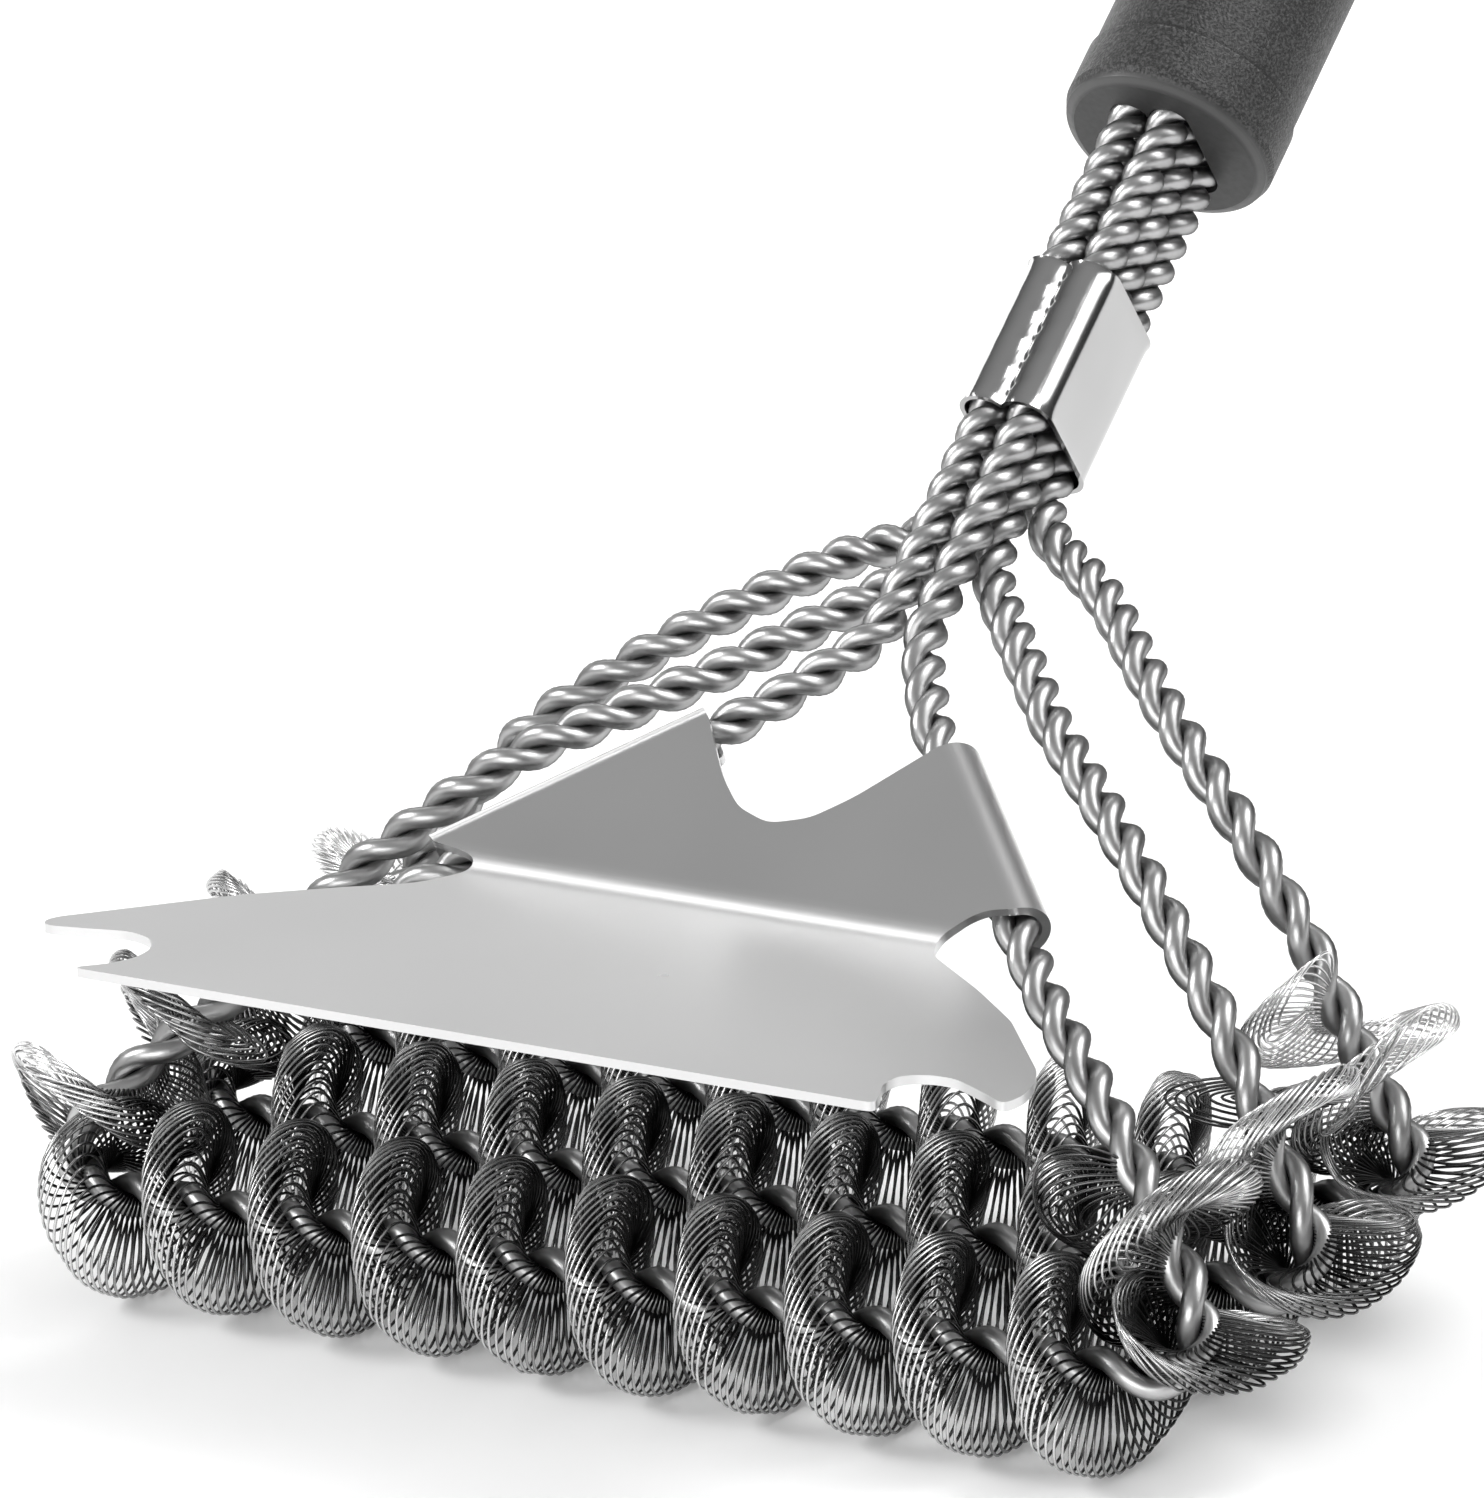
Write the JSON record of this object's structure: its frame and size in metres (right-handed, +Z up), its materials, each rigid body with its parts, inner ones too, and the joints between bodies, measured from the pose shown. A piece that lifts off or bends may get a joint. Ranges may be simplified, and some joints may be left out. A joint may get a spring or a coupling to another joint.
{
  "type": "grill cleaning brush",
  "caption": "Bristle-free grill brush: rows of wire coil trapped in twisted steel loops, a crimped ferrule, a sheet scraper on the front loop and a round moulded handle.",
  "frame": {"origin": "under the middle of the brush's box, on the surface that the coils rest on", "axes": "+Z up, +Y from the head towards the raised handle, +X to the right along the rows seen from the front"},
  "size_m": [0.1994, 0.3958, 0.2754],
  "materials": {
    "loop_wire": "drawn stainless wire, softly bright",
    "coil_wire": "fine drawn stainless wire",
    "ferrule_steel": "polished, crimped",
    "scraper_sheet": "fine satin sheet",
    "handle_grip": "fine pebbled matte black",
    "handle_cap": "matte black, smooth on its face",
    "socket": "plain moulded"
  },
  "bodies": {
    "root": {"front_loop_wire_a": "loop_wire", "front_loop_wire_b": "loop_wire", "front_coil": "coil_wire", "middle_loop_wire_a": "loop_wire", "middle_loop_wire_b": "loop_wire", "middle_coil": "coil_wire", "back_loop_wire_a": "loop_wire", "back_loop_wire_b": "loop_wire", "back_coil": "coil_wire", "ferrule": "ferrule_steel", "scraper": "scraper_sheet", "front_cap": "handle_cap", "grip": "handle_grip", "rope_socket": "socket", "hang_cap": "handle_cap"}
  },
  "joints": []
}
